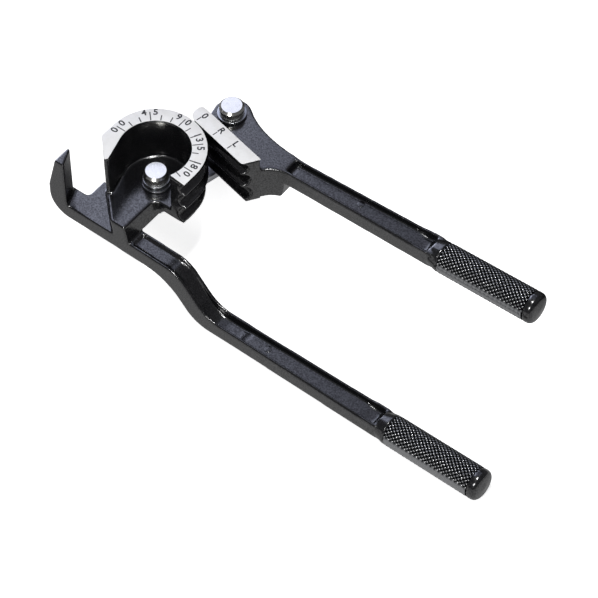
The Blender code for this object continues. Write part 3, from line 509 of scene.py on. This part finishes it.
# Degree scale
# A thin white plate lies on the former's rim. Black lines every 15 degrees stand on its inner edge, and the
# longer ones part the digits of 0, 45, 90, 135 and 180.
PLATE_SINK = 0.00003
INK_HEIGHT = 0.00002
SCALE_TOP = PIN_AXIS.z + 0.04105
SCALE_SKIN = 0.0001
PLATE_EDGE = 0.00012
PLATE_CORNER = math.radians(60)
PLATE_SMOOTH = math.radians(40)
FLATNESS = math.radians(1)
LINE_COUNT = 14
LINE_STEP = 15
LONG_EVERY = 3
LINE_WIDTH = 0.00050
SHORT_LINE = 0.0030
LONG_LINE = 0.0049
SCALE_INSIDE = 0.01700
DIGIT_SIZE = 0.0047
INK_THINNING = 0.00012
INK_CURVES = 4
DIGITS = (("0", 0.0213, 186), ("0", 0.0213, 172.5), ("4", 0.0218, 142), ("5", 0.0216, 128),
          ("9", 0.0214, 98.5), ("0", 0.0211, 84), ("1", 0.0206, 60.5), ("3", 0.0206, 52.5),
          ("5", 0.0206, 38.5), ("1", 0.0209, 15.0), ("8", 0.0206, 8.0), ("0", 0.0206, -6.5))
PRINT_CLOUDS = 260
PRINT_WORN_BAND = (0.30, 0.55)
PRINT_MATT = (0.58, 0.42)
PRINT_STRENGTH = 0.10
PRINT_DEPTH = 0.00003
WHITE_WORN = (0.82, 0.82, 0.82, 1)
WHITE_CLEAN = (0.88, 0.88, 0.89, 1)
INK_WORN = (0.016, 0.016, 0.017, 1)
INK_CLEAN = (0.009, 0.009, 0.010, 1)


def printed_plate(name, node, body):
    """A copy of a thin white plate, lowered by the height of its print, with soft edges."""
    plate = bpy.data.objects.new(name, frame["nodes"][node].data.copy())
    bpy.context.scene.collection.objects.link(plate)
    bpy.ops.object.select_all(action="DESELECT")
    bpy.context.view_layer.objects.active = plate
    plate.select_set(True)
    bpy.ops.mesh.customdata_custom_splitnormals_clear()
    bpy.ops.object.mode_set(mode="EDIT")
    bpy.ops.mesh.select_all(action="SELECT")
    bpy.ops.mesh.remove_doubles(threshold=WELD)
    bpy.ops.mesh.dissolve_limited(angle_limit=FLATNESS)
    bpy.ops.mesh.select_all(action="DESELECT")
    mesh = bmesh.from_edit_mesh(plate.data)
    for vertex in mesh.verts:
        if vertex.co.z > SCALE_TOP - SCALE_SKIN:
            vertex.co.z -= PLATE_SINK
    bmesh.update_edit_mesh(plate.data)
    bpy.ops.object.mode_set(mode="OBJECT")
    edge = plate.modifiers.new("edge", "BEVEL")
    edge.width = PLATE_EDGE
    edge.segments = 2
    edge.limit_method = "ANGLE"
    edge.angle_limit = PLATE_CORNER
    bpy.ops.object.modifier_apply(modifier=edge.name)
    bpy.ops.object.shade_smooth_by_angle(angle=PLATE_SMOOTH)
    plate.data.materials.clear()
    plate.data.materials.append(white)
    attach(plate, body)
    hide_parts(node)
    return plate


def ink_line(start, end, level):
    """One printed line between two points."""
    middle = (Vector(start) + Vector(end)) / 2
    reach = Vector(end) - Vector(start)
    bpy.ops.object.select_all(action="DESELECT")
    bpy.ops.mesh.primitive_plane_add(size=1)
    line = bpy.context.object
    line.data.transform(Matrix.Diagonal((reach.length, LINE_WIDTH, 1, 1)))
    line.data.transform(Matrix.Rotation(math.atan2(reach.y, reach.x), 4, "Z"))
    line.data.transform(Matrix.Translation((middle.x, middle.y, level)))
    body = line.modifiers.new("ink", "SOLIDIFY")
    body.thickness = INK_HEIGHT
    body.offset = 1
    bpy.ops.object.modifier_apply(modifier=body.name)
    return line


def ink_word(word, size, place, turn, level):
    """One printed word or digit, its middle at a place, turned in the plane."""
    bpy.ops.object.select_all(action="DESELECT")
    bpy.ops.object.text_add()
    text = bpy.context.object
    text.data.body = word
    text.data.size = size
    text.data.align_x = "CENTER"
    text.data.align_y = "CENTER"
    text.data.offset = INK_THINNING
    text.data.extrude = INK_HEIGHT / 2
    text.data.resolution_u = INK_CURVES
    bpy.ops.object.convert(target="MESH")
    word_mesh = bpy.context.object
    word_mesh.data.transform(Matrix.Rotation(turn, 4, "Z"))
    word_mesh.data.transform(Matrix.Translation((place[0], place[1], level + INK_HEIGHT / 2)))
    return word_mesh


def joined(name, pieces, finish, body):
    """Several printed marks made one piece."""
    bpy.ops.object.select_all(action="DESELECT")
    for piece in pieces:
        piece.select_set(True)
    bpy.context.view_layer.objects.active = pieces[0]
    bpy.ops.object.join()
    marks = bpy.context.object
    marks.name = name
    marks.data.materials.clear()
    marks.data.materials.append(finish)
    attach(marks, body)


def print_finish(name, worn_colour, clean_colour):
    """Baked print, matt and a little uneven in colour and surface."""
    finish = bpy.data.materials.new(name)
    finish.use_nodes = True
    tree = finish.node_tree
    shader = tree.nodes["Principled BSDF"]
    place = tree.nodes.new("ShaderNodeTexCoord")
    wear = tree.nodes.new("ShaderNodeTexNoise")
    wear.inputs["Scale"].default_value = PRINT_CLOUDS
    wear.inputs["Detail"].default_value = 5
    tree.links.new(place.outputs["Object"], wear.inputs["Vector"])
    tone = tree.nodes.new("ShaderNodeValToRGB")
    tone.color_ramp.elements[0].position = PRINT_WORN_BAND[0]
    tone.color_ramp.elements[0].color = worn_colour
    tone.color_ramp.elements[1].position = PRINT_WORN_BAND[1]
    tone.color_ramp.elements[1].color = clean_colour
    tree.links.new(wear.outputs["Fac"], tone.inputs["Fac"])
    tree.links.new(tone.outputs["Color"], shader.inputs["Base Color"])
    dull = tree.nodes.new("ShaderNodeMapRange")
    dull.inputs["To Min"].default_value = PRINT_MATT[0]
    dull.inputs["To Max"].default_value = PRINT_MATT[1]
    tree.links.new(wear.outputs["Fac"], dull.inputs["Value"])
    tree.links.new(dull.outputs["Result"], shader.inputs["Roughness"])
    bump = tree.nodes.new("ShaderNodeBump")
    bump.inputs["Strength"].default_value = PRINT_STRENGTH
    bump.inputs["Distance"].default_value = PRINT_DEPTH
    tree.links.new(wear.outputs["Fac"], bump.inputs["Height"])
    tree.links.new(bump.outputs["Normal"], shader.inputs["Normal"])
    return finish


white = print_finish("white_print", WHITE_WORN, WHITE_CLEAN)
ink = print_finish("black_ink", INK_WORN, INK_CLEAN)
degree_plate = printed_plate("degree_plate", "degree_scale", "former")
ink_level = SCALE_TOP - PLATE_SINK
marks = []
for step in range(LINE_COUNT):
    angle = math.pi - math.radians(LINE_STEP * step)
    way = Vector((math.cos(angle), math.sin(angle)))
    start = PIN_AXIS.xy + way * SCALE_INSIDE
    end = PIN_AXIS.xy + way * (SCALE_INSIDE + (SHORT_LINE if step % LONG_EVERY else LONG_LINE))
    marks.append(ink_line(start, end, ink_level))
for digit, radius, degrees in DIGITS:
    angle = math.radians(degrees)
    place = PIN_AXIS.xy + Vector((math.cos(angle), math.sin(angle))) * radius
    marks.append(ink_word(digit, DIGIT_SIZE, place, angle - math.pi / 2, ink_level))
joined("degree_marks", marks, ink, "former")

# Index scale
# A second white plate lies on the slide block. Three black index lines stand on its edge over the grooves,
# with 0, R and L above them.
FACE_TURN = math.radians(-12.0)
FACE_EDGE = -0.0193
INDEX_MARKS = (("0", -0.0014, 0.0050), ("R", 0.0101, 0.0053), ("L", 0.0203, 0.0053))
INDEX_LINE = (0.0008, 0.0034)
INDEX_LINE_BACK = 0.0006
index_plate = printed_plate("index_plate", "index_scale", "slide")
marks = []
to_face = Matrix.Translation(SLIDE_AXIS) @ Matrix.Rotation(FACE_TURN, 4, "Z")
for word, along, middle in INDEX_MARKS:
    start = to_face @ Vector((along - INDEX_LINE_BACK, FACE_EDGE + INDEX_LINE[0], 0))
    end = to_face @ Vector((along - INDEX_LINE_BACK, FACE_EDGE + INDEX_LINE[1], 0))
    marks.append(ink_line(start.xy, end.xy, ink_level))
    place = to_face @ Vector((along, FACE_EDGE + middle, 0))
    marks.append(ink_word(word, DIGIT_SIZE, place, FACE_TURN, ink_level))
joined("index_marks", marks, ink, "slide")

# Link
# A flat bar stamped from steel and zinc plated, its edges dulled by tumbling. It lies under both castings
# and is held by the two pins.
ZINC_COLOUR = (0.62, 0.63, 0.66)
LINK_EDGE = 0.00025
METAL_CORNER = math.radians(50)
METAL_SMOOTH = math.radians(30)
PLATING_CLOUDS = 350
PLATING_BAND = (0.3, 0.7)
PLATING_SHADE = 0.82
PLATING_SPREAD = 0.08
TURNING_WOBBLE = 1.5
TURNING_STRENGTH = 0.08
TURNING_DEPTH = 0.00005


def edged_piece(name, node, body, edge_width, finish):
    """A copy of a small metal solid with its sharp edges rounded."""
    piece = bpy.data.objects.new(name, frame["nodes"][node].data.copy())
    bpy.context.scene.collection.objects.link(piece)
    bpy.ops.object.select_all(action="DESELECT")
    bpy.context.view_layer.objects.active = piece
    piece.select_set(True)
    bpy.ops.mesh.customdata_custom_splitnormals_clear()
    bpy.ops.object.mode_set(mode="EDIT")
    bpy.ops.mesh.select_all(action="SELECT")
    bpy.ops.mesh.remove_doubles(threshold=WELD)
    bpy.ops.mesh.dissolve_limited(angle_limit=FLATNESS)
    bpy.ops.object.mode_set(mode="OBJECT")
    edge = piece.modifiers.new("edge", "BEVEL")
    edge.width = edge_width
    edge.segments = 3
    edge.limit_method = "ANGLE"
    edge.angle_limit = METAL_CORNER
    bpy.ops.object.modifier_apply(modifier=edge.name)
    bpy.ops.object.shade_smooth_by_angle(angle=METAL_SMOOTH)
    piece.data.materials.clear()
    piece.data.materials.append(finish)
    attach(piece, body)
    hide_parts(node)


def plated_steel(name, axis, rings, roughness, colour):
    """Bright steel with a cloudy surface, and with turning marks round an axis."""
    finish = bpy.data.materials.new(name)
    finish.use_nodes = True
    tree = finish.node_tree
    shader = tree.nodes["Principled BSDF"]
    shader.inputs["Metallic"].default_value = 1
    place = tree.nodes.new("ShaderNodeTexCoord")
    cloud = tree.nodes.new("ShaderNodeTexNoise")
    cloud.inputs["Scale"].default_value = PLATING_CLOUDS
    cloud.inputs["Detail"].default_value = 5
    tree.links.new(place.outputs["Object"], cloud.inputs["Vector"])
    tone = tree.nodes.new("ShaderNodeValToRGB")
    tone.color_ramp.elements[0].position = PLATING_BAND[0]
    tone.color_ramp.elements[0].color = (*[part * PLATING_SHADE for part in colour], 1)
    tone.color_ramp.elements[1].position = PLATING_BAND[1]
    tone.color_ramp.elements[1].color = (*colour, 1)
    tree.links.new(cloud.outputs["Fac"], tone.inputs["Fac"])
    tree.links.new(tone.outputs["Color"], shader.inputs["Base Color"])
    dull = tree.nodes.new("ShaderNodeMapRange")
    dull.inputs["To Min"].default_value = roughness - PLATING_SPREAD
    dull.inputs["To Max"].default_value = roughness + PLATING_SPREAD
    tree.links.new(cloud.outputs["Fac"], dull.inputs["Value"])
    tree.links.new(dull.outputs["Result"], shader.inputs["Roughness"])
    centre = tree.nodes.new("ShaderNodeVectorMath")
    centre.operation = "SUBTRACT"
    centre.inputs[1].default_value = axis
    tree.links.new(place.outputs["Object"], centre.inputs[0])
    turning = tree.nodes.new("ShaderNodeTexWave")
    turning.wave_type = "RINGS"
    turning.rings_direction = "Z"
    turning.inputs["Scale"].default_value = rings
    turning.inputs["Distortion"].default_value = TURNING_WOBBLE
    turning.inputs["Detail"].default_value = 2
    tree.links.new(centre.outputs["Vector"], turning.inputs["Vector"])
    bump = tree.nodes.new("ShaderNodeBump")
    bump.inputs["Strength"].default_value = TURNING_STRENGTH
    bump.inputs["Distance"].default_value = TURNING_DEPTH
    tree.links.new(turning.outputs["Fac"], bump.inputs["Height"])
    tree.links.new(bump.outputs["Normal"], shader.inputs["Normal"])
    return finish


link_steel = plated_steel("plated_steel", PIN_AXIS, rings=40, roughness=0.36, colour=ZINC_COLOUR)
edged_piece("link_plate", "link_bar", "link", LINK_EDGE, link_steel)

# Former pin
# A shouldered steel pin, turned and polished, through the former's floor. Under its head lie a spacer ring
# and a flat washer, and below the link a washer and a clip hold its tail.
PIN_COLOUR = (0.86, 0.85, 0.80)
PIN_EDGE = 0.0003
WASHER_COLOUR = (0.40, 0.41, 0.43)
WASHER_EDGE = 0.00015
SPACER_EDGE = 0.0002
former_steel = plated_steel("former_pin_steel", PIN_AXIS, rings=500, roughness=0.20, colour=PIN_COLOUR)
former_washer_steel = plated_steel("former_washer_steel", PIN_AXIS, rings=300, roughness=0.24,
                                   colour=WASHER_COLOUR)
edged_piece("former_pin_turned", "former_pin", "former", PIN_EDGE, former_steel)
edged_piece("former_spacer_ring", "former_spacer", "former", SPACER_EDGE, former_washer_steel)
edged_piece("former_flat_washer", "former_washer", "former", WASHER_EDGE, former_washer_steel)
edged_piece("former_rear_washer", "former_pin_washer_rear", "former", WASHER_EDGE, former_washer_steel)

# Slide pin
# The same kind of pin goes through the slide handle's boss and the link. A washer lies under its head and
# another on its tail, and both turn with the link.
slide_steel = plated_steel("slide_pin_steel", SLIDE_AXIS, rings=500, roughness=0.20, colour=PIN_COLOUR)
slide_washer_steel = plated_steel("slide_washer_steel", SLIDE_AXIS, rings=300, roughness=0.24,
                                  colour=WASHER_COLOUR)
edged_piece("slide_pin_turned", "slide_pin", "link", PIN_EDGE, slide_steel)
edged_piece("slide_flat_washer", "slide_washer", "link", WASHER_EDGE, slide_washer_steel)
edged_piece("slide_rear_washer", "slide_pin_washer_rear", "link", WASHER_EDGE, slide_washer_steel)

# Clips
# Retaining rings stamped from dark spring steel snap into the grooves of the two pin tails and hold the
# rear washers.
SPRING_COLOUR = (0.20, 0.20, 0.21)
CLIP_EDGE = 0.0001
spring_steel = plated_steel("spring_steel", PIN_AXIS, rings=40, roughness=0.45, colour=SPRING_COLOUR)
edged_piece("former_clip_ring", "former_pin_clip", "former", CLIP_EDGE, spring_steel)
edged_piece("slide_clip_ring", "slide_pin_clip", "link", CLIP_EDGE, spring_steel)
